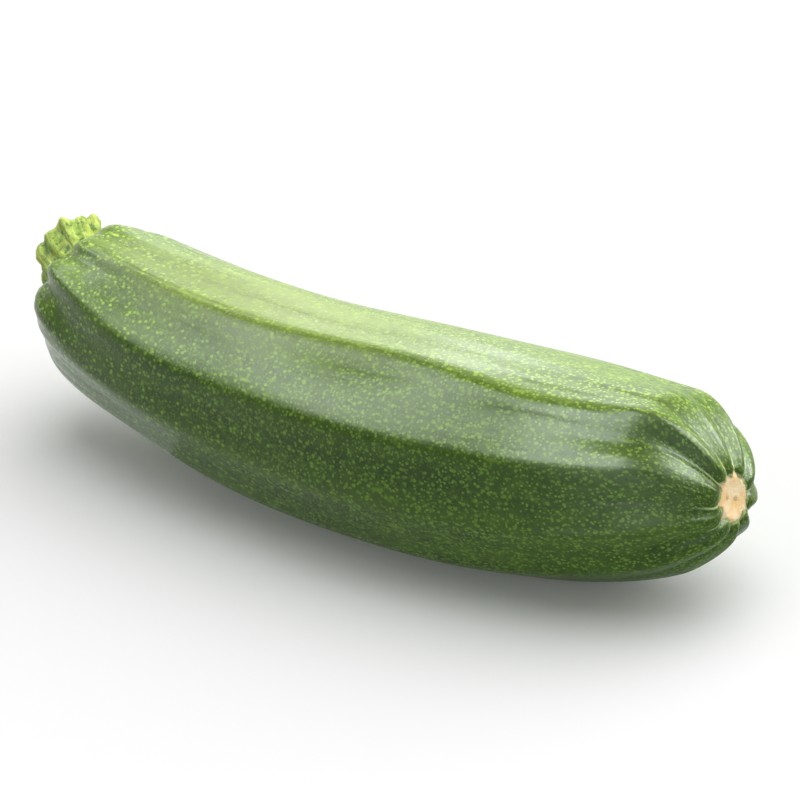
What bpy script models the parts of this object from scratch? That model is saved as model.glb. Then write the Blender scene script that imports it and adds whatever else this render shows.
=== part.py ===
"""A courgette: one green fruit with ten soft ribs, and the cut stub of its stalk.

Metres, +Z up. The fruit lies along X on the flat of one facet. Its stalk is at -X, the end where the
flower sat is at +X, and the origin is on the surface it rests on, under the middle of its box.
"""

import math

import bmesh
import bpy
import numpy as np
from mathutils import Vector

MM = 0.001

# The line down the middle of the fruit
FRUIT_LENGTH = 190 * MM
BEND = math.radians(28)  # turn of the middle line from end to end
BEND_SKEW = math.radians(-2)  # below zero, more of the turn is near the stalk
BEND_TILT = math.radians(30)  # how far the hollow side of the bend looks upwards
LINE_STEPS = 200

# Thickness, from the middle line to the middle of a facet
GIRTH_PLACES = (0.0, 0.25, 0.5, 0.75, 1.0)
GIRTH_RADII = (15.8 * MM, 20.2 * MM, 22.3 * MM, 22.3 * MM, 14.4 * MM)

# The shoulders, which roll over into the socket of the stalk
SHOULDER_LENGTH = 16.5 * MM
SHOULDER_BLUNTNESS = 3.6
SOCKET_RADIUS = 7.4 * MM
SOCKET_DEPTH = 2.6 * MM
SOCKET_ROLL = 4.5 * MM

# The nose, which rolls over into the scar of the flower
NOSE_LENGTH = 16.5 * MM
NOSE_BLUNTNESS = 1.92
SCAR_RADIUS = 4.8 * MM
SCAR_DEPTH = 0.9 * MM
SCAR_ROLL = 3.0 * MM
SCAR_HOLLOW = 0.4 * MM
SCAR_OFFSET = 3.0 * MM  # the scar sits off the middle of the nose
SCAR_OFFSET_ANGLE = math.radians(210)
SCAR_OFFSET_REACH = 15 * MM

# Ribs, and the grooves between them that deepen towards both ends
RIBS = 10
RIB_START = math.radians(5)  # angle of the first rib at half length, from +Y towards +Z
RIB_TWIST = math.radians(8)
RIB_HEIGHTS = (0.85 * MM, 0.60 * MM)  # every second rib is lower
SHOULDER_GROOVE_DEPTH = 1.8 * MM
SHOULDER_GROOVE_REACH = 34 * MM
NOSE_GROOVE_DEPTH = 1.8 * MM
NOSE_GROOVE_REACH = 46 * MM

# The flat that the fruit rests on
REST_FLAT_DEPTH = 1.2 * MM

# The stub of the stalk, with fins that stand out most at the cut
STUB_HEIGHT = 13.0 * MM
STUB_NECK_RADIUS = 6.2 * MM
STUB_RIM_RADIUS = 7.5 * MM
STUB_LEAN = 2.8 * MM
STUB_LEAN_ANGLE = math.radians(38)
STUB_EDGE = 0.8 * MM
STUB_CUT_HOLLOW = 0.7 * MM
FIN_ANGLES = tuple(math.radians(a) for a in (5, 50, 75, 102, 130, 158, 208, 260, 312))
FIN_HEIGHTS = tuple(h * MM for h in (1.5, 1.9, 0.8, 2.1, 1.2, 2.0, 1.5, 1.9, 1.4))
FIN_WIDTH = math.radians(12)
GAP = 0.3 * MM

# Fineness of the meshes
FRUIT_SIDES = 6 * RIBS
SHOULDER_RINGS = 9
BODY_RINGS = 24
NOSE_RINGS = 11
STUB_SIDES = 60
STUB_RINGS = 6

SKIN_GREEN = (0.050, 0.125, 0.030)
STALK_GREEN = (0.42, 0.60, 0.12)


def clear_scene():
    for obj in list(bpy.data.objects):
        bpy.data.objects.remove(obj, do_unlink=True)


def material(name, colour, roughness):
    mat = bpy.data.materials.new(name)
    mat.use_nodes = True
    principled = mat.node_tree.nodes["Principled BSDF"]
    principled.inputs["Base Color"].default_value = (*colour, 1.0)
    principled.inputs["Roughness"].default_value = roughness
    principled.inputs["Metallic"].default_value = 0.0
    return mat


# ---------------------------------------------------------------- the bent middle line


def heading(place):
    """Angle between the middle line and the X axis, at a place from 0, the stalk, to 1, the nose."""
    off = place - 0.5
    return BEND * off + 4 * BEND_SKEW * (off**2 - 1 / 12)


def middle_line():
    """Places from 0 to 1, and how far the line has come along X and to its hollow side."""
    places = np.linspace(0.0, 1.0, LINE_STEPS + 1)
    turns = heading((places[1:] + places[:-1]) / 2)
    step = FRUIT_LENGTH / LINE_STEPS
    along = np.append(0.0, np.cumsum(np.cos(turns))) * step
    aside = np.append(0.0, np.cumsum(np.sin(turns))) * step
    return places, along, aside


LINE = middle_line()


def cross_section(distance):
    """Centre, heading and the two side directions of the slice at a distance from the stalk's end.

    Past either end the middle line runs on straight.
    """
    places, along, aside = LINE
    place = min(max(distance / FRUIT_LENGTH, 0.0), 1.0)
    beyond = distance - place * FRUIT_LENGTH
    angle = heading(place)
    hollow = Vector((0.0, math.cos(BEND_TILT), math.sin(BEND_TILT)))
    across = Vector((0.0, -math.sin(BEND_TILT), math.cos(BEND_TILT)))
    x_axis = Vector((1.0, 0.0, 0.0))
    ahead = math.cos(angle) * x_axis + math.sin(angle) * hollow
    inward = math.cos(angle) * hollow - math.sin(angle) * x_axis
    x = float(np.interp(place, places, along))
    w = float(np.interp(place, places, aside))
    return x * x_axis + w * hollow + beyond * ahead, ahead, inward, across


def outward(inward, across, angle):
    """Direction away from the middle line at an angle from +Y towards +Z."""
    return math.cos(angle - BEND_TILT) * inward + math.sin(angle - BEND_TILT) * across


# ---------------------------------------------------------------- the fruit's outline


def girth(distance):
    curve = np.polyfit(GIRTH_PLACES, GIRTH_RADII, len(GIRTH_PLACES) - 1)
    return float(np.polyval(curve, distance / FRUIT_LENGTH))


def end_curve(length, bluntness, inner_radius, depth, roll, rings, from_nose):
    """Outline of one end, from the edge of its hollow to the body: distances and radii."""
    outline = []
    for ring in range(rings):
        turn = math.pi / 2 * (ring / rings) ** 1.3
        inset = length * (1 - math.cos(turn) ** (2 / bluntness))
        distance = FRUIT_LENGTH - inset if from_nose else inset
        rise = math.sin(turn) ** (2 / bluntness)
        radius = inner_radius + (girth(distance) - inner_radius) * rise
        sunk = depth * max(1 - (radius - inner_radius) / roll, 0.0) ** 2
        outline.append((distance - sunk if from_nose else distance + sunk, radius))
    return outline


def fruit_outline():
    """Distances and radii along the whole fruit, from the socket of the stalk to the scar."""
    shoulder = end_curve(
        SHOULDER_LENGTH, SHOULDER_BLUNTNESS, SOCKET_RADIUS, SOCKET_DEPTH, SOCKET_ROLL, SHOULDER_RINGS, False
    )
    nose = end_curve(NOSE_LENGTH, NOSE_BLUNTNESS, SCAR_RADIUS, SCAR_DEPTH, SCAR_ROLL, NOSE_RINGS, True)
    body = [(d, girth(d)) for d in np.linspace(SHOULDER_LENGTH, FRUIT_LENGTH - NOSE_LENGTH, BODY_RINGS)]
    return np.array(shoulder + body + nose[::-1])


def outline_normals(outline):
    """Directions square to the outline, away from the flesh."""
    ahead = np.gradient(outline, axis=0)
    normals = np.column_stack((-ahead[:, 1], ahead[:, 0]))
    return normals / np.linalg.norm(normals, axis=1, keepdims=True)


def groove_depth(distance):
    from_stalk = max(1 - max(distance, 0.0) / SHOULDER_GROOVE_REACH, 0.0)
    from_nose = max(1 - max(FRUIT_LENGTH - distance, 0.0) / NOSE_GROOVE_REACH, 0.0)
    return SHOULDER_GROOVE_DEPTH * from_stalk**2 + NOSE_GROOVE_DEPTH * from_nose**2


def relief(distance, fullness, side):
    """How far the skin stands off the plain outline: ribs out, grooves in."""
    turn = side * RIBS / FRUIT_SIDES
    from_facet_middle = 2 * abs(turn - math.floor(turn) - 0.5)
    height = RIB_HEIGHTS[round(turn) % 2]
    rib = height * fullness * from_facet_middle**2
    groove = groove_depth(distance) * (0.35 + 0.65 * fullness) * (1 - from_facet_middle) ** 2
    return rib - groove


def nose_offset(distance):
    """How far the middle of a ring is off the middle line, growing over the nose."""
    return SCAR_OFFSET * max(1 - max(FRUIT_LENGTH - distance, 0.0) / SCAR_OFFSET_REACH, 0.0) ** 2


def fruit_ring(distance, radius, normal):
    """Points round the fruit at one place of its outline."""
    centre, ahead, inward, across = cross_section(distance)
    centre = centre + outward(inward, across, SCAR_OFFSET_ANGLE) * nose_offset(distance)
    twist = RIB_TWIST * (distance / FRUIT_LENGTH - 0.5)
    fullness = min(radius / girth(min(max(distance, 0.0), FRUIT_LENGTH)), 1.0) ** 2
    points = []
    for side in range(FRUIT_SIDES):
        out = outward(inward, across, RIB_START + twist + 2 * math.pi * side / FRUIT_SIDES)
        off = relief(distance, fullness, side)
        points.append(centre + ahead * (normal[0] * off) + out * (radius + normal[1] * off))
    return points


# ---------------------------------------------------------------- closed bodies from rings


def add_ring(bm, points):
    return [bm.verts.new(point) for point in points]


def skin(bm, ring, next_ring):
    """Faces between two rings of as many points."""
    for i in range(len(ring)):
        j = (i + 1) % len(ring)
        bm.faces.new((ring[i], ring[j], next_ring[j], next_ring[i]))


def close_end(bm, ring, centre):
    """Faces from a ring to one point in its middle."""
    middle = bm.verts.new(centre)
    for i in range(len(ring)):
        bm.faces.new((ring[i], ring[(i + 1) % len(ring)], middle))


def closed_body(rings, first_centre, last_centre):
    bm = bmesh.new()
    loops = [add_ring(bm, points) for points in rings]
    for loop, next_loop in zip(loops, loops[1:]):
        skin(bm, loop, next_loop)
    close_end(bm, loops[0], first_centre)
    close_end(bm, loops[-1], last_centre)
    bmesh.ops.recalc_face_normals(bm, faces=bm.faces)
    return bm


def lowest(bm):
    return min(vert.co.z for vert in bm.verts)


def cut_rest_flat(bm):
    """Slices the lowest facet level, so that the fruit lies on a true flat. Returns its height."""
    height = lowest(bm) + REST_FLAT_DEPTH
    parts = list(bm.verts) + list(bm.edges) + list(bm.faces)
    cut = bmesh.ops.bisect_plane(
        bm, geom=parts, plane_co=(0, 0, height), plane_no=(0, 0, 1), dist=1e-6, clear_inner=True
    )
    edges = [part for part in cut["geom_cut"] if isinstance(part, bmesh.types.BMEdge)]
    bmesh.ops.contextual_create(bm, geom=edges)
    bmesh.ops.recalc_face_normals(bm, faces=bm.faces)
    return height


def build_fruit():
    outline = fruit_outline()
    normals = outline_normals(outline)
    rings = [fruit_ring(d, r, n) for (d, r), n in zip(outline.tolist(), normals.tolist())]
    socket_floor = cross_section(float(outline[0, 0]))[0]
    ahead = cross_section(FRUIT_LENGTH)[1]
    scar_middle = sum(rings[-1], Vector()) / FRUIT_SIDES - ahead * SCAR_HOLLOW
    return closed_body(rings, socket_floor, scar_middle)


# ---------------------------------------------------------------- the stub of the stalk


def fins(angle):
    """Sum of the fins that stand out at an angle round the stub."""
    total = 0.0
    for place, height in zip(FIN_ANGLES, FIN_HEIGHTS):
        apart = (angle - place + math.pi) % (2 * math.pi) - math.pi
        total += height * math.exp(-((apart / FIN_WIDTH) ** 2))
    return total


def stub_ring(height, shrink):
    """Points round the stub at a height above the shoulders, drawn in by shrink."""
    centre, ahead, inward, across = cross_section(-height)
    share = min(max(height / STUB_HEIGHT, 0.0), 1.0)
    centre = centre + outward(inward, across, STUB_LEAN_ANGLE) * (STUB_LEAN * share**1.5)
    radius = STUB_NECK_RADIUS + (STUB_RIM_RADIUS - STUB_NECK_RADIUS) * share - shrink
    points = []
    for side in range(STUB_SIDES):
        angle = 2 * math.pi * side / STUB_SIDES
        reach = radius + fins(angle) * (0.25 + 0.75 * share)
        points.append(centre + outward(inward, across, angle) * reach)
    return points, centre


def build_stub():
    foot = -(SOCKET_DEPTH - GAP)
    heights = np.linspace(foot, STUB_HEIGHT - STUB_EDGE, STUB_RINGS).tolist()
    rings = [stub_ring(h, 0.0)[0] for h in heights]
    rim, top = stub_ring(STUB_HEIGHT, STUB_EDGE)
    rings.append(rim)
    ahead = cross_section(0.0)[1]
    return closed_body(rings, cross_section(-foot)[0], top + ahead * STUB_CUT_HOLLOW)


# ---------------------------------------------------------------- the whole courgette


def ground_origin(bodies, rest_height):
    """The point under the middle of the whole courgette, on the surface that it rests on."""
    points = [vert.co for bm in bodies for vert in bm.verts]
    middle = [(min(p[i] for p in points) + max(p[i] for p in points)) / 2 for i in (0, 1)]
    return Vector((*middle, rest_height))


def add_object(name, bm, mat, origin):
    bmesh.ops.translate(bm, verts=bm.verts, vec=-origin)
    mesh = bpy.data.meshes.new(name)
    bm.to_mesh(mesh)
    bm.free()
    mesh.materials.append(mat)
    mesh.shade_smooth()
    mesh.set_sharp_from_angle(angle=math.radians(40))
    obj = bpy.data.objects.new(name, mesh)
    bpy.context.scene.collection.objects.link(obj)
    return obj


def main():
    clear_scene()
    fruit = build_fruit()
    stub = build_stub()
    rest_height = cut_rest_flat(fruit)
    origin = ground_origin((fruit, stub), rest_height)
    add_object("fruit", fruit, material("green_skin", SKIN_GREEN, 0.35), origin)
    add_object("stem_stub", stub, material("stalk_green", STALK_GREEN, 0.5), origin)


main()
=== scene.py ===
"""Looks for the courgette: ribbed green skin with pale speckles, the corky scar of the flower, the stub."""

import math

import bpy
import numpy as np
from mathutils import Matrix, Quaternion, Vector

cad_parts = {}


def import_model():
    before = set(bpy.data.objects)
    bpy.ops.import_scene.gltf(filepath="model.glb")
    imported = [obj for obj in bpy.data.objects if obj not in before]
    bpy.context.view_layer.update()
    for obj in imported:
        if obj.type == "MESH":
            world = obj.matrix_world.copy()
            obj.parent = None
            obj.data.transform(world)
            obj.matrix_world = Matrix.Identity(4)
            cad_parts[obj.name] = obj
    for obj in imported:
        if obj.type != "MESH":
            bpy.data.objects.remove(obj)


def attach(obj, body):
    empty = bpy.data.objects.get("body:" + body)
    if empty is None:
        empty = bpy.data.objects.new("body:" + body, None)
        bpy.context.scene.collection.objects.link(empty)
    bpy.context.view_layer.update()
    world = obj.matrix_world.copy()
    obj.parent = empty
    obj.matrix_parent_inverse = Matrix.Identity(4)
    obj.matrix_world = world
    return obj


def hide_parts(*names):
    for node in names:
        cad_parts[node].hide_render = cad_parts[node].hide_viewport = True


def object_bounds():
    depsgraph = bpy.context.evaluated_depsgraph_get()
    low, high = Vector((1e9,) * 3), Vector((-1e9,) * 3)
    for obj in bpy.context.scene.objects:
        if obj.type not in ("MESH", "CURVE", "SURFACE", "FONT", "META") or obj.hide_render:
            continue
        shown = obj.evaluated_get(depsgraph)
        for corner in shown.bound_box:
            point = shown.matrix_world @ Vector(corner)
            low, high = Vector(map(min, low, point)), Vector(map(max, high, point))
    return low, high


MM = 0.001

# The line down the middle of the fruit, from the stalk to the nose
FRUIT_LENGTH = 190 * MM
BEND = math.radians(28)  # turn of the middle line from end to end
BEND_SKEW = math.radians(-2)  # below zero, more of the turn is near the stalk
BEND_TILT = math.radians(30)  # how far the hollow side of the bend looks upwards
LINE_STEPS = 200
LINE_START_INSET = 13.96 * MM  # from the stalk's end of the whole courgette
LINE_START_ASIDE = 8.28 * MM
LINE_START_HEIGHT = 27.14 * MM

# Thickness, from the middle line to the middle of a facet
GIRTH_PLACES = (0.0, 0.25, 0.5, 0.75, 1.0)
GIRTH_RADII = (15.8 * MM, 20.2 * MM, 22.3 * MM, 22.3 * MM, 14.4 * MM)

# The shoulders, which roll over into the socket of the stalk
SHOULDER_LENGTH = 16.5 * MM
SHOULDER_BLUNTNESS = 3.6
SOCKET_RADIUS = 7.4 * MM
SOCKET_DEPTH = 2.6 * MM
SOCKET_ROLL = 4.5 * MM

# The nose, which rolls over into the scar of the flower
NOSE_LENGTH = 16.5 * MM
NOSE_BLUNTNESS = 1.92
SCAR_RADIUS = 4.8 * MM
SCAR_DEPTH = 0.9 * MM
SCAR_ROLL = 3.0 * MM
SCAR_HOLLOW = 0.4 * MM
SCAR_OFFSET = 3.6 * MM  # the scar sits off the middle of the nose
SCAR_OFFSET_ANGLE = math.radians(222)
SCAR_OFFSET_REACH = 15 * MM

# Ribs, and the grooves between them that deepen towards both ends
RIBS = 10
RIB_START = math.radians(5)  # angle of the first rib at half length, from +Y towards +Z
RIB_TWIST = math.radians(8)
RIB_SWAY = math.radians(0.7)  # the ribs wander a little as they run
RIB_SWAY_ALONG = 9  # waves of the wandering, in radians along the fruit and turns round it
RIB_SWAY_ROUND = 2
RIB_HEIGHTS = tuple(h * MM for h in (0.80, 0.65, 0.12, 1.10, 0.85, 0.90, 0.70, 0.80, 0.65, 0.85))
RIB_ROUNDING = 0.26  # as a share of half a facet
GROOVE_ROUNDING = 0.14
GROOVE_AT_HOLLOW = 0.35  # share of its depth that a groove keeps where the skin rolls into a hollow
RELIEF_START = 0.75 * SCAR_RADIUS  # from here to the next, ribs and grooves grow out of the bed of the scar
RELIEF_FULL = 1.1 * SCAR_RADIUS
SHOULDER_GROOVE_DEPTH = 1.8 * MM
SHOULDER_GROOVE_SHARES = (1.0, 0.9, 0.55, 0.5, 0.75, 0.6, 1.0, 1.1, 0.9, 1.0)  # one for each groove
SHOULDER_GROOVE_REACH = 28 * MM
# Where the ribs sit aside: angle and width round the fruit in degrees, place and reach along it as shares
# of its length, and how far they move, as a share of a facet, above zero towards the lower angles
RIB_SHIFTS = (
    (160, 28, 0.0, 0.116, 0.45),
    (128, 30, 1.0, 0.11, 0.34),
    (150, 20, 0.5, 2.0, -0.075),
    (113, 20, 0.57, 0.15, 0.22),
    (115, 20, 0.81, 0.13, -0.15),
)
NOSE_GROOVE_DEPTH = 2.1 * MM
NOSE_GROOVE_SHARES = (1.0, 0.9, 0.55, 1.0, 0.35, 1.0, 0.9, 1.0, 0.9, 1.0)
NOSE_GROOVE_REACH = 31 * MM

# Unevenness of a grown thing. A dent has its angle and width round the fruit in degrees, its place and
# reach along it as shares of its length, and its height, below zero for a hollow
DENTS = (
    (110, 17, 0.0, 0.10, -1.7 * MM),
    (178, 24, 0.01, 0.08, 0.2 * MM),
    (68, 32, 0.89, 0.10, -1.8 * MM),
    (250, 30, 0.96, 0.06, -0.8 * MM),
    (300, 45, 1.0, 0.06, -0.6 * MM),
    (74, 26, 0.45, 0.42, 0.45 * MM),
    (207, 24, 0.08, 0.08, 0.8 * MM),
)
SWELL_HEIGHT = 0.16 * MM
SWELL_WAVES = ((11, 2, 1.0), (19, -3, 0.0))  # radians along the fruit, turns round it, and start
WRINKLE_HEIGHT = 0.07 * MM
WRINKLE_COUNTS = (23, 37, 59)
WRINKLE_STARTS = (0.0, 1.7, 3.4)
WRINKLE_REACH = 70 * MM
WRINKLE_ON_BODY = 0.12  # share of their height that wrinkles keep far from the ends
WANDER = 1.2  # how far wrinkles wander aside as they run, in radians of their own wave
WANDER_ALONG = 13
WANDER_ROUND = 2
WANDER_APART = 4  # keeps one set of wrinkles from wandering with the next

# Where the skin is paler: on top, partly its own tone and partly painted light from above, and in thin lines
# and a rim about the scar
PALE_LIT_TOP_ANGLE = math.radians(92)
PALE_LIT_TOP_WIDTH = math.radians(30)
PALE_LIT_TOP_PLACE = 0.36
PALE_LIT_TOP_REACH = 0.30
PALE_LINE_START = 0.6 * MM  # from the edge of the scar's bed
PALE_LINE_END = 9 * MM
PALE_LINE_WIDTH = 0.20  # as a share of half a facet
PALE_RIM_WIDTH = 0.35 * MM
PALE_RIM_SHARE = 0.6

REST_ROUNDING = 0.7 * MM  # how softly the underside turns into the flat that it lies on

# The stub of the stalk, with fins that stand out most at the cut
STUB_HEIGHT = 13.0 * MM
STUB_NECK_RADIUS = 6.9 * MM
STUB_RIM_RADIUS = 8.1 * MM
STUB_LEAN = 2.8 * MM
STUB_LEAN_ANGLE = math.radians(38)
STUB_LEAN_CURVE = 1.5  # above 1, the stub leans more towards its cut
STUB_EDGE = 1.5 * MM
STUB_EDGE_SHARE = 1 / 8  # of the way from the edge of the cut to its middle
STUB_CUT_HOLLOW = 0.7 * MM
STUB_GAP = 0.3 * MM
STUB_CUT_WAVE = 0.35 * MM
STUB_CUT_WAVES = ((3, 1, 1.0), (8, 0, 0.5))  # turns round the cut, start and share of the height
STUB_CUT_DROP = 1.2  # in heights of the wave
CUT_LOOK_START = 0.02  # shares of the way in, between which the look of the cut sets in
CUT_LOOK_FULL = 0.10
FIN_ANGLES = tuple(math.radians(a) for a in (5, 50, 75, 102, 130, 158, 208, 260, 312))
FIN_HEIGHTS = tuple(h * MM for h in (1.5, 2.1, 1.6, 2.0, 1.2, 2.0, 1.5, 1.9, 1.4))
FIN_WIDTH = math.radians(11)
FIN_SQUARENESS = 2.4
FIN_AT_NECK = 0.25  # share of a fin's height at the neck
FIBRE_COUNTS = (31, 47, 71)
FIBRE_HEIGHT = 0.04 * MM
FIBRE_TWIST = 3  # radians of its wave over the stub's height
KNOB_HEIGHT = 0.22 * MM
KNOB_WAVES = ((9, 0.7 / MM, 0.0), (14, -0.9 / MM, 2.0))  # turns round the stub, radians up it, and start

# The scar's outline runs out into each groove
SCAR_INSET = 0.5 * MM
SCAR_POINT = 0.9 * MM
SCAR_POINT_SHARPNESS = 2.2
SCAR_RAGS = ((7, 1, 0.16 * MM), (13, 0, 0.12 * MM), (41, 0, 0.06 * MM))  # turns, start and height
SCAR_LIFT = 0.14 * MM
SCAR_THICKNESS = 0.5 * MM
SCAR_EDGE_START = 0.9  # share of the way out, from which the scar rolls down to the skin
SCAR_EDGE_DROP = 1.6 * SCAR_LIFT
CORK_HEIGHT = 0.03 * MM
CORK_RING = 2.1 / MM  # radians of its wave on the way out
CORK_TURNS = (3, 4)

# Fineness of the meshes
SKIN_SIDES = 30 * RIBS
SHOULDER_RINGS = 46
BODY_RINGS = 190
NOSE_RINGS = 52
END_CROWDING = 1.3  # above 1, the rings of an end crowd towards its hollow
END_FLOOR_RINGS = 12
STUB_SIDES = 360
STUB_RINGS = 70
CUT_RINGS = 26
SCAR_SIDES = 240
SCAR_RINGS = 26

# The camera
CAMERA_AZIMUTH = math.radians(49.44)
CAMERA_ELEVATION = math.radians(24.27)
CAMERA_ROLL = math.radians(-8.5)
CAMERA_DISTANCE = 1.2
CAMERA_LENS = 269.5
CAMERA_AIM = (0.0061, 0.0083, 0.0271)
CAMERA_DROP = 0.0042  # how far the camera is moved down its own view, which lifts the courgette in it
CAMERA_SENSOR = 36.0
CAMERA_NEAREST = 0.05
CAMERA_FARTHEST = 100.0


# ---------------------------------------------------------------- the bent middle line


def heading(place):
    """Angle between the middle line and the X axis, at a place from 0, the stalk, to 1, the nose."""
    off = place - 0.5
    return BEND * off + 4 * BEND_SKEW * (off**2 - 1 / 12)


def middle_line():
    """Places from 0 to 1, and how far the line has come along X and to its hollow side."""
    places = np.linspace(0.0, 1.0, LINE_STEPS + 1)
    turns = heading((places[1:] + places[:-1]) / 2)
    step = FRUIT_LENGTH / LINE_STEPS
    along = np.append(0.0, np.cumsum(np.cos(turns))) * step
    aside = np.append(0.0, np.cumsum(np.sin(turns))) * step
    return places, along, aside


# The middle line lies in the plane of X and HOLLOW, and ACROSS is square to that plane
LINE = middle_line()
X_AXIS = np.array((1.0, 0.0, 0.0))
HOLLOW = np.array((0.0, math.cos(BEND_TILT), math.sin(BEND_TILT)))
ACROSS = np.array((0.0, -math.sin(BEND_TILT), math.cos(BEND_TILT)))


def cross_sections(distances):
    """Centres and headings of the slices at distances from the stalk's end, and the way to the hollow."""
    places, along, aside = LINE
    place = np.clip(distances / FRUIT_LENGTH, 0.0, 1.0)
    angle = heading(place)[..., None]
    ahead = np.cos(angle) * X_AXIS + np.sin(angle) * HOLLOW
    inward = np.cos(angle) * HOLLOW - np.sin(angle) * X_AXIS
    come_along = np.interp(place, places, along)[..., None]
    come_aside = np.interp(place, places, aside)[..., None]
    beyond = (distances - place * FRUIT_LENGTH)[..., None]
    return come_along * X_AXIS + come_aside * HOLLOW + beyond * ahead, ahead, inward


def outward(inward, angles):
    """Directions away from the middle line at angles from +Y towards +Z."""
    turned = (angles - BEND_TILT)[..., None]
    return np.cos(turned) * inward + np.sin(turned) * ACROSS


# ---------------------------------------------------------------- the skin's outline


def girth(distance):
    """Radius of the body at a distance from the stalk's end, on a smooth curve through the driving radii."""
    curve = np.polyfit(GIRTH_PLACES, GIRTH_RADII, len(GIRTH_PLACES) - 1)
    return np.polyval(curve, np.clip(distance / FRUIT_LENGTH, 0.0, 1.0))


def end_curve(length, bluntness, inner_radius, depth, roll, rings, from_nose):
    """Outline of one end, from the edge of its hollow to the body: distances and radii."""
    turn = math.pi / 2 * (np.arange(rings) / rings) ** END_CROWDING
    inset = length * (1 - np.cos(turn) ** (2 / bluntness))
    distance = FRUIT_LENGTH - inset if from_nose else inset
    radius = inner_radius + (girth(distance) - inner_radius) * np.sin(turn) ** (2 / bluntness)
    sunk = depth * np.maximum(1 - (radius - inner_radius) / roll, 0.0) ** 2
    return np.column_stack((distance - sunk if from_nose else distance + sunk, radius))


def hollow_floor(edge, depth, rings, from_nose):
    """Outline of the floor of an end's hollow, from near its middle to its edge."""
    share = np.arange(1, rings) / rings
    sunk = depth * (1 - share**2)
    distance = edge[0] - sunk if from_nose else edge[0] + sunk
    return np.column_stack((distance, edge[1] * share))


def skin_outline():
    """Distances and radii along the whole skin, from under the stalk to under the scar."""
    shoulder = end_curve(
        SHOULDER_LENGTH, SHOULDER_BLUNTNESS, SOCKET_RADIUS, SOCKET_DEPTH, SOCKET_ROLL, SHOULDER_RINGS, False
    )
    nose = end_curve(NOSE_LENGTH, NOSE_BLUNTNESS, SCAR_RADIUS, SCAR_DEPTH, SCAR_ROLL, NOSE_RINGS, True)
    spots = np.linspace(SHOULDER_LENGTH, FRUIT_LENGTH - NOSE_LENGTH, BODY_RINGS)
    body = np.column_stack((spots, girth(spots)))
    socket = hollow_floor(shoulder[0], 0.0, END_FLOOR_RINGS, False)
    scar_bed = hollow_floor(nose[0], SCAR_HOLLOW, END_FLOOR_RINGS, True)
    return np.vstack((socket, shoulder, body, nose[::-1], scar_bed[::-1]))


def outline_normals(outline):
    """Directions square to the outline, away from the flesh."""
    ahead = np.gradient(outline, axis=0)
    normals = np.column_stack((-ahead[:, 1], ahead[:, 0]))
    return normals / np.linalg.norm(normals, axis=1, keepdims=True)


def run_length(outline):
    """How far each point of the outline is from the first, measured over the skin."""
    steps = np.linalg.norm(np.diff(outline, axis=0), axis=1)
    return np.append(0.0, np.cumsum(steps))


# ---------------------------------------------------------------- ribs, grooves and unevenness


def smooth_step(value, low, high):
    """0 below low and 1 above high, with a smooth rise between them."""
    share = np.clip((value - low) / (high - low), 0.0, 1.0)
    return share**2 * (3 - 2 * share)


def from_nose(distance):
    """How far a slice is from the nose's end of the middle line."""
    return np.maximum(FRUIT_LENGTH - distance, 0.0)


def rib_turn(distance, angles):
    """Angles counted in ribs, whole on a crest, with the slow twist along the fruit taken out."""
    place = distance / FRUIT_LENGTH
    twist = RIB_TWIST * (place - 0.5) + RIB_SWAY * np.sin(RIB_SWAY_ALONG * place + RIB_SWAY_ROUND * angles)
    turn = (angles - RIB_START - twist) * RIBS / (2 * math.pi)
    for angle, width, at, reach, share in RIB_SHIFTS:
        aside = (angles - math.radians(angle)) / math.radians(width)
        turn = turn + share * np.exp(-(aside**2) - ((place - at) / reach) ** 2)
    return turn


def ridge(share, rounding):
    """Height of a ridge at a share of the way from its top, 0, to its foot, 1, with its top made round."""
    away = np.sqrt(share**2 + rounding**2) - rounding
    foot = math.sqrt(1 + rounding**2) - rounding
    return (1 - away / foot) ** 2


def groove_depth(distance, turn):
    """Depth of the groove in each facet, which fades out on the way to the body."""
    shoulder = np.maximum(1 - np.maximum(distance, 0.0) / SHOULDER_GROOVE_REACH, 0.0)
    facet = np.floor(turn).astype(int) % RIBS
    shoulder_depth = SHOULDER_GROOVE_DEPTH * np.array(SHOULDER_GROOVE_SHARES)[facet]
    nose_depth = NOSE_GROOVE_DEPTH * np.array(NOSE_GROOVE_SHARES)[facet]
    nose = np.maximum(1 - from_nose(distance) / NOSE_GROOVE_REACH, 0.0)
    return shoulder_depth * shoulder**2 + nose_depth * nose**2


def ribs_and_grooves(fullness, distance, turn):
    """How far the skin stands off the plain outline: rounded ribs out, grooves in."""
    from_crest = 2 * np.abs(turn - np.round(turn))
    heights = np.array(RIB_HEIGHTS)[np.round(turn).astype(int) % RIBS]
    rib = heights * fullness * ridge(from_crest, RIB_ROUNDING)
    groove = ridge(1 - from_crest, GROOVE_ROUNDING)
    kept = GROOVE_AT_HOLLOW + (1 - GROOVE_AT_HOLLOW) * fullness
    return rib - groove_depth(distance, turn) * kept * groove


def unevenness(distance, angles):
    """Slow swellings along the body, and fine wrinkles that run into both ends."""
    place = distance / FRUIT_LENGTH
    swell = 0.0
    for along, around, start in SWELL_WAVES:
        swell = swell + np.sin(along * place + around * angles + start)
    near_end = np.maximum(1 - np.minimum(distance, from_nose(distance)) / WRINKLE_REACH, 0.0) ** 2
    wrinkle = 0.0
    for i, (count, start) in enumerate(zip(WRINKLE_COUNTS, WRINKLE_STARTS)):
        wander = WANDER * np.sin(WANDER_ALONG * place + WANDER_APART * i + WANDER_ROUND * angles)
        wrinkle = wrinkle + np.cos(count * angles + wander + start) / (1 + i)
    return SWELL_HEIGHT * swell + WRINKLE_HEIGHT * (WRINKLE_ON_BODY + near_end) * wrinkle


def angle_apart(angles, middle):
    """How far angles are from a middle one, the short way round."""
    return (angles - middle + math.pi) % (2 * math.pi) - math.pi


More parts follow.
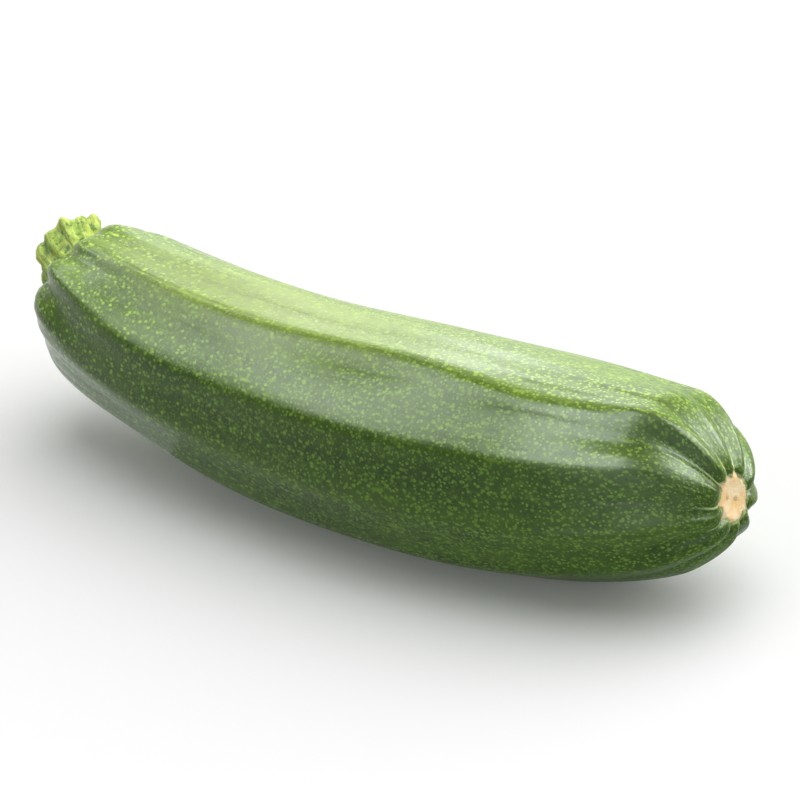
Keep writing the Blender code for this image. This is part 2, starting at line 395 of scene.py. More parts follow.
def dents(distance, angles):
    """The few broad bulges and hollows of this fruit."""
    total = 0.0
    for angle, width, place, reach, height in DENTS:
        aside = angle_apart(angles, math.radians(angle)) / math.radians(width)
        along = (distance / FRUIT_LENGTH - place) / reach
        total = total + height * np.exp(-(aside**2) - along**2)
    return total


def pale_lit_top_share(distance, angles):
    """How much paler the skin is on top: partly its own tone, partly painted light from above."""
    aside = (angles - PALE_LIT_TOP_ANGLE) / PALE_LIT_TOP_WIDTH
    along = (distance / FRUIT_LENGTH - PALE_LIT_TOP_PLACE) / PALE_LIT_TOP_REACH
    return np.exp(-(aside**2) - along**2)


def nose_offset(distance):
    """How far the middle of a ring is off the middle line, growing over the nose."""
    return SCAR_OFFSET * np.maximum(1 - from_nose(distance) / SCAR_OFFSET_REACH, 0.0) ** 2


def skin_points(distance, radius, normal, angles, lift=0.0):
    """Points on the skin, or lifted off it, at places of its outline and angles round it."""
    centre, ahead, inward = cross_sections(distance)
    offset_angle = np.full_like(distance, SCAR_OFFSET_ANGLE)
    centre = centre + outward(inward, offset_angle) * nose_offset(distance)[..., None]
    fullness = np.minimum(radius / girth(distance), 1.0) ** 2
    off = ribs_and_grooves(fullness, distance, rib_turn(distance, angles))
    off = off + unevenness(distance, angles) * fullness**0.5
    off = off * smooth_step(radius, RELIEF_START, RELIEF_FULL)
    off = off + dents(distance, angles) * smooth_step(radius, SCAR_RADIUS, SOCKET_RADIUS) + lift
    along = (normal[..., 0] * off)[..., None]
    away = (radius + normal[..., 1] * off)[..., None]
    return centre + ahead * along + outward(inward, angles) * away


# ---------------------------------------------------------------- closed meshes from rings


def closed_piece(name, points, attributes, finish):
    """A closed mesh from rings of points, each end drawn to one point, with values kept on its points."""
    rings, sides = points.shape[:2]
    verts = np.vstack((points.reshape(-1, 3), points[0].mean(axis=0), points[-1].mean(axis=0)))
    side = np.arange(sides)
    beside = (side + 1) % sides
    lower = np.arange(rings - 1)[:, None] * sides
    quads = np.stack((lower + side, lower + beside, lower + sides + beside, lower + sides + side), axis=-1)
    last_ring = (rings - 1) * sides
    first_fan = np.column_stack((beside, side, np.full(sides, rings * sides)))
    last_fan = np.column_stack((last_ring + side, last_ring + beside, np.full(sides, rings * sides + 1)))
    faces = quads.reshape(-1, 4).tolist() + first_fan.tolist() + last_fan.tolist()
    mesh = bpy.data.meshes.new(name)
    mesh.from_pydata(verts.tolist(), [], faces)
    for label, values in attributes.items():
        add_attribute(mesh, label, values)
    mesh.materials.append(finish)
    mesh.shade_smooth()
    piece = bpy.data.objects.new(name, mesh)
    bpy.context.scene.collection.objects.link(piece)
    return piece


def add_attribute(mesh, label, values):
    """Keeps a number or a vector on each point of the rings; the end points take their ring's mean."""
    flat = values.reshape(-1, values.shape[-1]) if values.ndim == 3 else values.reshape(-1, 1)
    ends = np.stack((values[0].mean(axis=0), values[-1].mean(axis=0))).reshape(2, -1)
    kept = np.vstack((flat, ends)).astype(np.float32)
    kind, field = ("FLOAT_VECTOR", "vector") if values.ndim == 3 else ("FLOAT", "value")
    attribute = mesh.attributes.new(label, kind, "POINT")
    attribute.data.foreach_set(field, kept.ravel())


def settled(points):
    """Points with those below the ground pressed up to it, turning softly into the flat."""
    height = points[..., 2]
    points = points.copy()
    points[..., 2] = (height + np.sqrt(height**2 + REST_ROUNDING**2)) / 2
    return points


# ---------------------------------------------------------------- the skin


def build_skin(place, finish):
    """The whole green skin, with what its finish needs to know at each point."""
    outline = skin_outline()
    normals = outline_normals(outline)
    run = run_length(outline)
    angles = np.linspace(0.0, 2 * math.pi, SKIN_SIDES, endpoint=False)
    distance, angle = np.meshgrid(outline[:, 0], angles, indexing="ij")
    radius = np.repeat(outline[:, 1:], SKIN_SIDES, axis=1)
    normal = np.repeat(normals[:, None, :], SKIN_SIDES, axis=1)
    points = settled(skin_points(distance, radius, normal, angle) + place)
    spread = np.sqrt(radius * max(GIRTH_RADII))
    run_on_ring = np.repeat(run[:, None], SKIN_SIDES, axis=1)
    turn = rib_turn(distance, angle)
    crest = 1 - 2 * np.abs(turn - np.round(turn))
    attributes = {
        "grain": np.stack((run_on_ring, spread * np.cos(angle), spread * np.sin(angle)), axis=-1),
        "crest": crest,
        "pale_line": pale_lines(distance, radius, crest),
        "place": distance / FRUIT_LENGTH,
        "sunny": pale_lit_top_share(distance, angle),
    }
    return closed_piece("courgette_skin", points, attributes, finish), outline, normals


def pale_lines(distance, radius, crest):
    """How pale the skin is along the grooves that run out of the scar, and on the rim round it."""
    to_scar = np.maximum(radius - SCAR_RADIUS, 0.0)
    in_groove = smooth_step(1 - crest, 1 - PALE_LINE_WIDTH, 1.0)
    lines = (1 - smooth_step(to_scar, PALE_LINE_START, PALE_LINE_END)) * in_groove
    rim = PALE_RIM_SHARE * (1 - smooth_step(to_scar, 0.0, PALE_RIM_WIDTH))
    return np.maximum(lines, rim) * (distance > FRUIT_LENGTH / 2)


# ---------------------------------------------------------------- the scar of the flower


def build_scar(outline, normals, place, finish):
    """A thin corky star on the end of the nose, whose points run out into the grooves."""
    angles = np.linspace(0.0, 2 * math.pi, SCAR_SIDES, endpoint=False)
    at_nose = outline[:, 0] > FRUIT_LENGTH / 2
    nose = outline[at_nose]
    nose_normals = normals[at_nose]
    turn = rib_turn(np.full_like(angles, FRUIT_LENGTH), angles)
    in_groove = 2 * np.abs(turn - np.round(turn))
    reach = SCAR_RADIUS - SCAR_INSET + SCAR_POINT * in_groove**SCAR_POINT_SHARPNESS
    for turns, start, height in SCAR_RAGS:
        reach = reach + height * np.sin(turns * angles + start)
    share = np.linspace(0.0, 1.0, SCAR_RINGS + 1)[1:]
    radius = share[:, None] * reach[None, :]
    edge_drop = smooth_step(share, SCAR_EDGE_START, 1.0)[:, None] * SCAR_EDGE_DROP
    rings, spokes = CORK_TURNS
    cork = np.sin(radius * CORK_RING + rings * angles) * np.sin(spokes * angles + radius / MM) * CORK_HEIGHT
    top = scar_points(nose, nose_normals, radius, angles, SCAR_LIFT - edge_drop + cork, place)
    under = scar_points(nose, nose_normals, radius, angles, np.full_like(radius, -SCAR_THICKNESS), place)
    points = np.vstack((top, under[::-1]))
    to_edge = np.vstack((np.repeat(share[:, None], SCAR_SIDES, axis=1),) * 2)
    flat = np.stack((radius * np.cos(angles), radius * np.sin(angles), radius * 0), axis=-1)
    attributes = {"to_edge": to_edge, "flat": np.vstack((flat, flat[::-1]))}
    return closed_piece("blossom_scar", points, attributes, finish)


def scar_points(nose, nose_normals, radius, angles, lift, place):
    """Points over the nose at radii from the scar's middle."""
    order = np.argsort(nose[:, 1])
    distance = np.interp(radius, nose[order, 1], nose[order, 0])
    normal = np.stack([np.interp(radius, nose[order, 1], nose_normals[order, i]) for i in (0, 1)], axis=-1)
    angle = np.broadcast_to(angles, radius.shape)
    return skin_points(distance, radius, normal, angle, lift) + place


# ---------------------------------------------------------------- the stub of the stalk


def fins(angles):
    """Sum of the fins that stand out at angles round the stub."""
    total = 0.0
    for middle, height in zip(FIN_ANGLES, FIN_HEIGHTS):
        aside = np.abs(angle_apart(angles, middle) / FIN_WIDTH)
        total = total + height * np.exp(-(aside**FIN_SQUARENESS))
    return total


def build_stub(place, finish):
    """The stub as one closed piece: its finned side, its rounded edge and its hollow cut."""
    foot = -(SOCKET_DEPTH - STUB_GAP)
    angles = np.linspace(0.0, 2 * math.pi, STUB_SIDES, endpoint=False)
    wave = -STUB_CUT_DROP * STUB_CUT_WAVE
    for turns, start, share in STUB_CUT_WAVES:
        wave = wave + share * STUB_CUT_WAVE * np.sin(turns * angles + start)
    rise = np.linspace(0.0, 1.0, STUB_RINGS)[:, None]
    height = foot + (STUB_HEIGHT - STUB_EDGE + wave - foot) * rise
    side_points, side_reach = stub_points(height, angles, np.ones_like(height))
    inset = np.linspace(0.0, 1.0, CUT_RINGS + 1)[1:-1][:, None]
    edge = STUB_EDGE * np.sqrt(1 - (1 - np.minimum(inset / STUB_EDGE_SHARE, 1.0)) ** 2)
    cut_height = STUB_HEIGHT - STUB_EDGE + wave * (1 - inset) + edge - STUB_CUT_HOLLOW * inset
    cut_points, cut_reach = stub_points(cut_height, angles, 1 - inset + np.zeros_like(angles))
    points = np.vstack((side_points, cut_points)) + place
    cut_look = smooth_step(inset, CUT_LOOK_START, CUT_LOOK_FULL) + np.zeros_like(angles)
    reach = np.vstack((side_reach, cut_reach))
    on_fin = fins(angles) / max(FIN_HEIGHTS)
    along = np.vstack((height, cut_height + np.zeros_like(angles)))
    attributes = {
        "on_cut": np.vstack((np.zeros_like(height), cut_look)),
        "ridge": np.broadcast_to(on_fin, reach.shape).copy(),
        "rise": along / STUB_HEIGHT,
        "grain": np.stack((along, reach * np.cos(angles), reach * np.sin(angles)), axis=-1),
    }
    return closed_piece("stalk_stub", points, attributes, finish)


def stub_points(height, angles, spread):
    """Points of the stub at heights over the shoulders, drawn towards its middle by a spread below 1."""
    centre, _, inward = cross_sections(-height)
    share = np.clip(height / STUB_HEIGHT, 0.0, 1.0)
    lean_angle = np.full_like(height, STUB_LEAN_ANGLE)
    centre = centre + outward(inward, lean_angle) * (STUB_LEAN * share**STUB_LEAN_CURVE)[..., None]
    radius = STUB_NECK_RADIUS + (STUB_RIM_RADIUS - STUB_NECK_RADIUS) * share
    fibres = 0.0
    for i, count in enumerate(FIBRE_COUNTS):
        wave = count * angles + 2 * i + FIBRE_TWIST * height / STUB_HEIGHT
        fibres = fibres + np.sin(wave) / (1 + 0.5 * i)
    knobs = 1.0
    for turns, climb, start in KNOB_WAVES:
        knobs = knobs * np.sin(turns * angles + climb * height + start)
    uneven = FIBRE_HEIGHT * fibres + KNOB_HEIGHT * knobs
    fin_share = FIN_AT_NECK + (1 - FIN_AT_NECK) * share
    reach = (radius + fins(angles) * fin_share + uneven) * spread
    out = outward(inward, np.broadcast_to(angles, height.shape))
    return centre + out * reach[..., None], reach


# ---------------------------------------------------------------- shader nodes as sums


class Level:
    """A value that changes over a surface, from one output of a shader node."""

    def __init__(self, finish, socket):
        self.finish = finish
        self.socket = socket

    def output(self, name):
        """Another output of the same node."""
        return Level(self.finish, self.socket.node.outputs[name])

    def math(self, operation, first, second):
        """What a Math node makes of two levels, or of a level and a number."""
        return self.finish.node("Math", {"operation": operation}, {0: first, 1: second})

    def __add__(self, other):
        return self.math("ADD", self, other)

    def __sub__(self, other):
        return self.math("SUBTRACT", self, other)

    def __rsub__(self, other):
        return self.math("SUBTRACT", other, self)

    def __mul__(self, other):
        return self.math("MULTIPLY", self, other)

    __radd__ = __add__
    __rmul__ = __mul__


class Finish:
    """The look of a material or of the sky, and the nodes that make it."""

    def __init__(self, owner, surface="Principled BSDF"):
        owner.use_nodes = True
        self.owner = owner
        self.tree = owner.node_tree
        self.surface = self.tree.nodes[surface]

    def node(self, kind, settings, sockets, output=0):
        """Adds a node, sets it up, then gives its sockets values or links."""
        made = self.tree.nodes.new("ShaderNode" + kind)
        for name, value in settings.items():
            if name == "stops":
                self.set_stops(made.color_ramp, value)
            else:
                setattr(made, name, value)
        for name, value in sockets.items():
            self.feed(made.inputs[name], value)
        return Level(self, made.outputs[output])

    def set_stops(self, ramp, stops):
        """Gives a colour ramp its stops, each a position and a colour, lowest first."""
        for _ in stops[2:]:
            ramp.elements.new(0.5)
        for element, (position, colour) in zip(ramp.elements, stops):
            element.position = position
            element.color = (*colour, 1.0)

    def feed(self, socket, value):
        """Links a socket to a level, or gives it a plain number, vector or colour."""
        if isinstance(value, Level):
            self.tree.links.new(value.socket, socket)
        elif socket.type == "RGBA":
            socket.default_value = (*value, 1.0)
        else:
            socket.default_value = value

    def set(self, **sockets):
        """Gives sockets of the surface values or links, with _ for each space in a name."""
        for name, value in sockets.items():
            self.feed(self.surface.inputs[name.replace("_", " ")], value)

    def kept(self, label, output="Fac"):
        """A value that the mesh keeps on its points."""
        return self.node("Attribute", {"attribute_name": label}, {}, output)

    def stretched(self, vector, amounts):
        """A vector with each part multiplied, so that below 1 a pattern draws out that way."""
        return self.node("VectorMath", {"operation": "MULTIPLY"}, {0: vector, 1: amounts})

    def moved(self, vector, noise, amount):
        """A vector pushed about by a noise colour."""
        settings = {"operation": "MULTIPLY_ADD"}
        return self.node("VectorMath", settings, {0: noise, 1: (amount,) * 3, 2: vector})

    def noise(self, vector, size, detail=3.0, roughness=0.5, output="Fac"):
        """Cloudy noise with blotches of a size in metres."""
        sockets = {"Vector": vector, "Scale": 1 / size, "Detail": detail, "Roughness": roughness}
        return self.node("TexNoise", {}, sockets, output)

    def cells(self, vector, size):
        """Distance to the middle of the nearest of scattered cells, as a share of their size."""
        return self.node("TexVoronoi", {}, {"Vector": vector, "Scale": 1 / size}, "Distance")

    def specks(self, vector, draw, size, radius, edge, scarce, full):
        """Specks, one in each cell of a size, longer along the fruit for a draw below 1. They start to show
        where their luck, 0 to 1, is over scarce, and show fully at full. Below 0, scarce leaves none out."""
        cells = self.cells(self.stretched(vector, (draw, 1.0, 1.0)), size)
        luck = self.channel(cells.output("Color"), "Red")
        return self.step(radius - cells, 0.0, edge) * self.step(luck, scarce, full)

    def larger(self, first, second):
        """The larger of two levels at each point."""
        return self.node("Math", {"operation": "MAXIMUM"}, {0: first, 1: second})

    def step(self, value, low, high):
        """0 below low and 1 above high, with a smooth rise between them."""
        sockets = {"Value": value, "From Min": low, "From Max": high}
        return self.node("MapRange", {"interpolation_type": "SMOOTHSTEP"}, sockets)

    def mix(self, share, first, second):
        """A colour between two."""
        return self.node("Mix", {"data_type": "RGBA"}, {0: share, 6: first, 7: second}, 2)

    def channel(self, colour, name):
        """The red, green or blue of a colour."""
        return self.node("SeparateColor", {}, {"Color": colour}, name)

    def bump(self, height, depth):
        """Feeds dents and rises of a depth in metres to the surface."""
        self.set(Normal=self.node("Bump", {}, {"Height": height, "Distance": depth, "Strength": 1.0}))


# ---------------------------------------------------------------- finishes


DEEP_GREEN = (0.017, 0.048, 0.004)
LEAF_GREEN = (0.056, 0.118, 0.008)
SPECK_GREEN = (0.170, 0.330, 0.030)
# The pale green of the top is partly painted light from above
PALE_LIT_TOP_GREEN = (0.165, 0.215, 0.022)
LINE_GREEN = (0.46, 0.62, 0.28)

# Each kind of speck: how it is drawn out, the size of its cells, its radius and soft edge as shares of that
# size, and the luck over which it starts to show and shows fully
FINE_SPECKS = (0.80, 0.72 * MM, 0.44, 0.24, -0.5, 0.9)
FRECKLES = (0.70, 1.15 * MM, 0.40, 0.20, -0.4, 0.9)
SPOTS = (0.55, 2.4 * MM, 0.20, 0.08, 0.3, 0.9)
DASHES = (0.22, 3.0 * MM, 0.16, 0.07, 0.65, 0.8)
SPECK_RAGGEDNESS = 0.35 * MM

SKIN_RELIEF = 0.16 * MM
NOSE_LOOK_START = 0.72  # shares of the length, between which the gloss turns into that of the nose
NOSE_LOOK_FULL = 0.92


def skin_finish():
    """Dark waxy green, freckled with pale specks that are larger and longer near the stalk."""
    skin = Finish(bpy.data.materials.new("green_skin"))
    grain = skin.kept("grain", "Vector")
    place = skin.kept("place")
    crest = skin.kept("crest")
    near_stalk = 1 - skin.step(place, 0.05, 0.75)
    at_nose = skin.step(place, NOSE_LOOK_START, NOSE_LOOK_FULL)
    mottle = skin.noise(grain, 3.2 * MM, 5.0, 0.6)
    grit = skin.noise(grain, 0.55 * MM, 3.0, 0.6)
    streaks = skin.noise(skin.stretched(grain, (0.07, 1.0, 1.0)), 2.6 * MM, 2.0, 0.5)
    patches = skin.noise(skin.stretched(grain, (0.4, 1.0, 1.0)), 14 * MM, 2.0)

    shade = mottle * 0.4 + streaks * 0.25 + patches * 0.25 + grit * 0.35 + crest * 0.06
    green = skin.mix(skin.step(shade, 0.42, 0.90), DEEP_GREEN, LEAF_GREEN)

    jitter = skin.noise(grain, 0.7 * MM, 2.0, 0.5, "Color")
    ragged = skin.moved(grain, jitter, SPECK_RAGGEDNESS)
    fine = skin.specks(ragged, *FINE_SPECKS)
    freckles = skin.specks(ragged, *FRECKLES)
    spots = skin.specks(ragged, *SPOTS)
    dashes = skin.specks(ragged, *DASHES)
    marks = skin.larger(fine * (0.70 - near_stalk * 0.35), freckles * (0.55 + near_stalk * 0.40))
    marks = skin.larger(marks, skin.larger(spots * 0.6, dashes) * (0.35 + near_stalk * 0.65))
    # Painted light: the top is painted paler, partly the skin's own tone and partly light from above, and
    # its specks are painted fainter there as painted sheen washing them out
    sunny = skin.kept("sunny")
    marks = marks * (1 - sunny * 0.55)
    colour = skin.mix(marks, green, SPECK_GREEN)
    colour = skin.mix(sunny * 0.22, colour, PALE_LIT_TOP_GREEN)
    pale = skin.kept("pale_line")
    colour = skin.mix(skin.step(pale + (mottle - 0.5) * 0.5, 0.25, 0.9) * 0.85, colour, LINE_GREEN)

    skin.set(
        Base_Color=colour,
        Roughness=0.20 + streaks * 0.10 + grit * 0.06 + at_nose * 0.08,
        IOR=1.25,
        Coat_Weight=(0.04 + streaks * 0.06) * (1 - at_nose * 0.7),
        Coat_Roughness=0.15,
        Coat_IOR=1.36,
    )
    skin.bump(mottle * 0.40 + streaks * 0.45 + grit * 0.14 + marks * 0.08, SKIN_RELIEF)
    return skin.owner


CREAM = (0.88, 0.72, 0.44)
TAN = (0.88, 0.60, 0.26)
RUST = (0.66, 0.36, 0.12)
PIT_BROWN = (0.30, 0.22, 0.07)
PIT_PLACES = ((-1.9 * MM, 0.9 * MM), (0.8 * MM, -0.5 * MM))
PIT_RADIUS = 0.45 * MM
PIT_RAGGEDNESS = 0.4 * MM
CORK_RELIEF = 0.25 * MM


def scar_finish():
    """Dry cork: cream and tan, with a speckled rusty edge and two small pits."""
    cork = Finish(bpy.data.materials.new("blossom_cork"))
    flat = cork.kept("flat", "Vector")
    to_edge = cork.kept("to_edge")
    patches = cork.noise(flat, 3.4 * MM, 3.0)
    crumbs = cork.noise(flat, 0.35 * MM, 4.0, 0.7)
    colour = cork.mix(cork.step(patches, 0.40, 0.62), CREAM, TAN)
    colour = cork.mix(cork.step(crumbs, 0.5, 0.75) * 0.35, colour, TAN)
    edge = cork.step(to_edge + (crumbs - 0.5) * 0.7, 0.84, 1.05)
    colour = cork.mix(edge * 0.55, colour, RUST)
    pits = 0.0
    for x, y in PIT_PLACES:
        away = cork.node("VectorMath", {"operation": "DISTANCE"}, {0: flat, 1: (x, y, 0.0)}, "Value")
        ragged = away + (crumbs - 0.5) * PIT_RAGGEDNESS
        pits = pits + (1 - cork.step(ragged, PIT_RADIUS * 0.4, PIT_RADIUS * 1.5))
    colour = cork.mix(pits * 0.45, colour, PIT_BROWN)
    cork.set(Base_Color=colour, Roughness=0.72 + crumbs * 0.15, IOR=1.35)
    cork.bump(crumbs * 0.8 + patches - pits * 0.6, CORK_RELIEF)
    return cork.owner


# The palest green of the stalk is partly painted highlight
PALE_FIBRE_AND_HIGHLIGHT = (0.54, 0.60, 0.16)
STALK_YELLOW = (0.29, 0.38, 0.045)
STALK_GREEN = (0.14, 0.27, 0.030)
# The darkest green of the flecks is partly painted shade
FLECK_AND_SHADE_GREEN = (0.030, 0.095, 0.014)
CUT_PALE = (0.42, 0.47, 0.22)
CUT_RING = (0.20, 0.30, 0.08)
STALK_RELIEF = 0.35 * MM


def stalk_finish():
    """Yellow-green fins flecked with dark green, and a pale fibrous cut. The yellow and the pale streaks are
    partly painted highlight, stronger on the fins and the top of the stub, and the dark flecks are partly
    painted shade, thicker between the fins and low down.
    """
    stalk = Finish(bpy.data.materials.new("stalk_green"))
    grain = stalk.kept("grain", "Vector")
    ridge = stalk.kept("ridge")
    rise = stalk.kept("rise")
    on_cut = stalk.kept("on_cut")
    blotches = stalk.noise(grain, 2.0 * MM, 3.0, 0.55)
    fibre = stalk.noise(stalk.stretched(grain, (0.35, 1.0, 1.0)), 0.8 * MM, 3.0)
    # Yellow blotches: partly the stalk's own tone, partly painted highlight that makes the fins and the top
    # of the stub yellower
    shade = stalk.step(ridge * 0.25 + blotches * 1.1 + rise * 0.1 - 0.45, 0.0, 0.5)
    colour = stalk.mix(shade, STALK_GREEN, STALK_YELLOW)
    flecks = stalk.noise(grain, 1.3 * MM, 3.0, 0.6)
    # Dark flecks: partly the stalk's own flecks, partly painted shade, thicker between the fins and low down
    flecks_and_shade = stalk.step(flecks + (0.5 - ridge) * 0.10 - rise * 0.04, 0.46, 0.60)
    colour = stalk.mix(flecks_and_shade * 0.85, colour, FLECK_AND_SHADE_GREEN)
    # Pale streaks: partly the stalk's own pale fibres, partly painted highlight
    colour = stalk.mix(stalk.step(fibre, 0.50, 0.70) * 0.55, colour, PALE_FIBRE_AND_HIGHLIGHT)
    rings = stalk.noise(grain, 0.9 * MM, 3.0)
    cut = stalk.mix(stalk.step(rings, 0.42, 0.68), CUT_PALE, CUT_RING)
    colour = stalk.mix(on_cut, colour, cut)
    stalk.set(
        Base_Color=colour,
        Roughness=0.46 + blotches * 0.15 + on_cut * 0.2,
        IOR=1.25,
    )
    stalk.bump(flecks * 0.5 + fibre * 0.8 + rings * on_cut, STALK_RELIEF)
    return stalk.owner


# ---------------------------------------------------------------- floor, lights and camera


FLOOR_WHITE = (0.90, 0.90, 0.90)
FLOOR_GLOW = 0.06
FLOOR_SIZE = 40.0


def build_floor():
    """A wide sheet of white paper."""
    corner = FLOOR_SIZE / 2
    mesh = bpy.data.meshes.new("floor")
    mesh.from_pydata(
        [(-corner, -corner, 0), (corner, -corner, 0), (corner, corner, 0), (-corner, corner, 0)],
        [],
        [(0, 1, 2, 3)],
    )
    floor = bpy.data.objects.new("floor", mesh)
    bpy.context.scene.collection.objects.link(floor)
    paper = Finish(bpy.data.materials.new("white_paper"))
    paper.set(
        Base_Color=FLOOR_WHITE,
        Roughness=0.9,
        IOR=1.2,
        Emission_Color=FLOOR_WHITE,
        Emission_Strength=FLOOR_GLOW,
    )
    mesh.materials.append(paper.owner)
    return floor


WARM_LIGHT = (1.0, 0.80, 0.60)
SOFT_LIGHT = (1.0, 0.96, 0.90)
PANEL_COLOUR = (0.95, 0.98, 1.0)
FLOOR_LIGHT_FROM = (0.3, 0.55, 1.0)
FLOOR_LIGHT_BRIGHTNESS = 2.55
FLOOR_LIGHT_SPREAD = math.radians(90)

# The sky's greys at heights from 0, level, to 1, straight up
SKY_HORIZON = (1.0, 1.0, 1.0)
SKY_LOW = (0.62, 0.62, 0.62)
SKY_HIGH = (0.38, 0.38, 0.38)
SKY = ((0.02, SKY_HORIZON), (0.06, SKY_LOW), (0.10, SKY_LOW), (0.30, SKY_HIGH))

# One large soft box over all, with its brightness and colour on the skin, on the scar and on the stub
OVERHEAD_PLACE = (-0.14, 0.44, 0.70)
OVERHEAD_FACES = (-0.02, 0.0, 0.03)
OVERHEAD_SIZE = (0.8, 0.8)
OVERHEADS = ((16.0, WARM_LIGHT), (14.5, SOFT_LIGHT), (8.8, SOFT_LIGHT))

# A small one close over the top of the fruit
KEY_PLACE = (-0.035, 0.10, 0.19)
KEY_FACES = (-0.035, 0.0, 0.045)
KEY_SIZE = (0.10, 0.10)
KEY_BRIGHTNESS = 15.0

# Panels that show only as gloss: name, place, point that they face, width and height, brightness
GLOSS_PANELS = (
    ("back_left_panel", (-0.60, 0.37, 0.30), (-0.05, 0.0, 0.04), (0.14, 0.20), 0.5),
    ("back_panel", (-0.47, 0.37, 0.39), (0.0, 0.0, 0.04), (0.20, 0.20), 4.8),
    ("back_right_panel", (-0.34, 0.46, 0.40), (0.06, 0.0, 0.04), (0.30, 0.26), 6.6),
    ("far_panel", (-0.37, 0.56, 0.17), (0.06, 0.0, 0.04), (0.46, 0.20), 1.8),
    ("rib_panel", (-0.57, 0.18, 0.45), (-0.03, 0.0, 0.04), (0.10, 0.34), 6.0),
    ("shoulder_panel", (-0.61, 0.03, 0.30), (-0.07, 0.0, 0.04), (0.12, 0.20), 6.0),
    ("side_left_panel", (-0.60, -0.20, 0.42), (-0.03, -0.02, 0.04), (0.26, 0.26), 4.2),
    ("side_panel", (-0.43, -0.28, 0.49), (0.04, -0.02, 0.04), (0.28, 0.28), 11.0),
    ("front_panel", (-0.07, -0.41, 0.59), (0.075, -0.02, 0.04), (0.38, 0.30), 32.0),
    ("front_low_panel", (0.25, -0.72, 0.20), (0.08, 0.0, 0.03), (0.70, 0.34), 5.0),
    ("nose_side_panel", (0.54, -0.12, 0.53), (0.095, 0.0, 0.035), (0.34, 0.30), 23.0),
    ("nose_panel", (0.36, 0.28, 0.60), (0.095, 0.0, 0.035), (0.32, 0.32), 40.0),
    ("nose_back_panel", (0.20, 0.62, 0.33), (0.095, 0.005, 0.035), (0.28, 0.18), 38.0),
    ("ground_panel", (0.13, -0.09, 0.002), (0.13, -0.09, 1.0), (0.14, 0.10), 2.2),
    ("ground_left_panel", (-0.10, -0.01, 0.002), (-0.10, -0.01, 1.0), (0.10, 0.06), 0.3),
)


def lit_only(light, pieces):
    """Lets a light fall on some pieces and on nothing else."""
    group = bpy.data.collections.new(light.name + "_falls_on")
    for piece in pieces:
        group.objects.link(piece)
    light.light_linking.receiver_collection = group


def add_light(name, kind, towards):
    """A light that shines from a direction, hidden from the camera."""
    data = bpy.data.lights.new(name, kind)
    light = bpy.data.objects.new(name, data)
    bpy.context.scene.collection.objects.link(light)
    light.rotation_mode = "QUATERNION"
    light.rotation_quaternion = Vector(towards).to_track_quat("Z", "Y")
    light.visible_camera = False
    return light


def soft_box(name, place, faces, size, brightness):
    """A glowing panel at a place, turned to face a point. Brightness is that of its face."""
    towards = Vector(place) - Vector(faces)
    light = add_light(name, "AREA", towards)
    light.location = place
    light.data.shape = "RECTANGLE"
    light.data.size = size[0]
    light.data.size_y = size[1]
    light.data.energy = brightness * math.pi * size[0] * size[1]
    return light


def build_sky():
    """Even soft light from all round, white at the horizon, so that the floor runs out into it."""
    sky = Finish(bpy.data.worlds.new("studio"), "Background")
    towards = sky.node("TexCoord", {}, {}, "Generated")
    height = sky.node("SeparateXYZ", {}, {"Vector": towards}, "Z")
    sky.set(Color=sky.node("ValToRGB", {"stops": SKY}, {"Fac": height}, "Color"))
    bpy.context.scene.world = sky.owner


def matt_light(name, place, faces, size, brightness, colour, piece):
    """A soft box that lights one piece and shows in no gloss."""
    light = soft_box(name, place, faces, size, brightness)
    light.visible_glossy = False
    light.data.color = colour
    lit_only(light, (piece,))


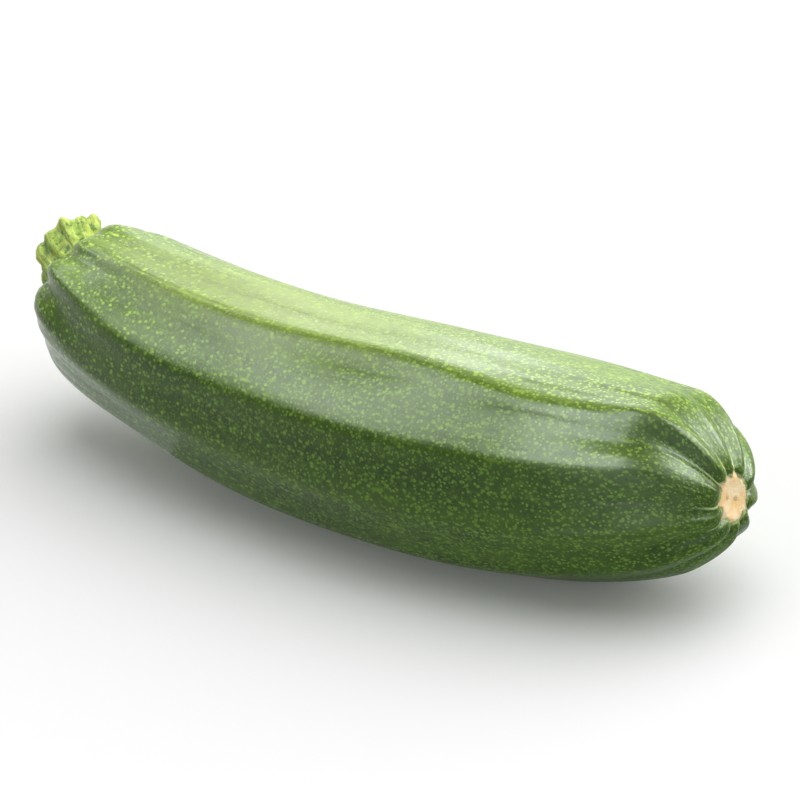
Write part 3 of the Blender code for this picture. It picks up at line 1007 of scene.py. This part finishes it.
def build_lights(pieces, floor):
    """The sky, the soft boxes over each piece, the panels for the gloss, and the floor's own light."""
    build_sky()
    for piece, (brightness, colour) in zip(pieces, OVERHEADS):
        name = "over_" + piece.name
        matt_light(name, OVERHEAD_PLACE, OVERHEAD_FACES, OVERHEAD_SIZE, brightness, colour, piece)
    matt_light("key", KEY_PLACE, KEY_FACES, KEY_SIZE, KEY_BRIGHTNESS, WARM_LIGHT, pieces[0])
    for name, place, faces, size, brightness in GLOSS_PANELS:
        panel = soft_box(name, place, faces, size, brightness)
        panel.visible_diffuse = False
        panel.data.color = PANEL_COLOUR
        lit_only(panel, pieces)
    floor_light = add_light("floor_light", "SUN", FLOOR_LIGHT_FROM)
    floor_light.data.energy = FLOOR_LIGHT_BRIGHTNESS
    floor_light.data.angle = FLOOR_LIGHT_SPREAD
    lit_only(floor_light, (floor,))


def build_camera():
    """The camera, turned about the point that it aims at and rolled a little."""
    data = bpy.data.cameras.new("camera")
    data.lens = CAMERA_LENS
    data.sensor_width = CAMERA_SENSOR
    data.clip_start = CAMERA_NEAREST
    data.clip_end = CAMERA_FARTHEST
    camera = bpy.data.objects.new("camera", data)
    bpy.context.scene.collection.objects.link(camera)
    flat = math.cos(CAMERA_ELEVATION)
    x = math.sin(CAMERA_AZIMUTH) * flat
    y = -math.cos(CAMERA_AZIMUTH) * flat
    back = Vector((x, y, math.sin(CAMERA_ELEVATION)))
    turn = (-back).to_track_quat("-Z", "Y") @ Quaternion((0.0, 0.0, 1.0), CAMERA_ROLL)
    camera.rotation_mode = "QUATERNION"
    camera.rotation_quaternion = turn
    camera.location = Vector(CAMERA_AIM) + back * CAMERA_DISTANCE - turn @ Vector((0.0, CAMERA_DROP, 0.0))
    bpy.context.scene.camera = camera


# ---------------------------------------------------------------- the whole courgette


def line_start(frame_box):
    """Where the middle line starts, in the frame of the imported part."""
    low, high = frame_box
    x = low.x + LINE_START_INSET
    y = (low.y + high.y) / 2 + LINE_START_ASIDE
    return np.array((x, y, low.z + LINE_START_HEIGHT))


def main():
    """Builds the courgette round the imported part, then its floor, lights and camera."""
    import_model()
    frame_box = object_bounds()
    start = line_start(frame_box)
    skin, outline, normals = build_skin(start, skin_finish())
    scar = build_scar(outline, normals, start, scar_finish())
    stub = build_stub(start, stalk_finish())
    for piece in (skin, scar, stub):
        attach(piece, "root")
    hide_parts("fruit")
    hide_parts("stem_stub")
    floor = build_floor()
    build_lights((skin, scar, stub), floor)
    build_camera()
    bpy.context.scene.view_settings.view_transform = "Standard"


main()
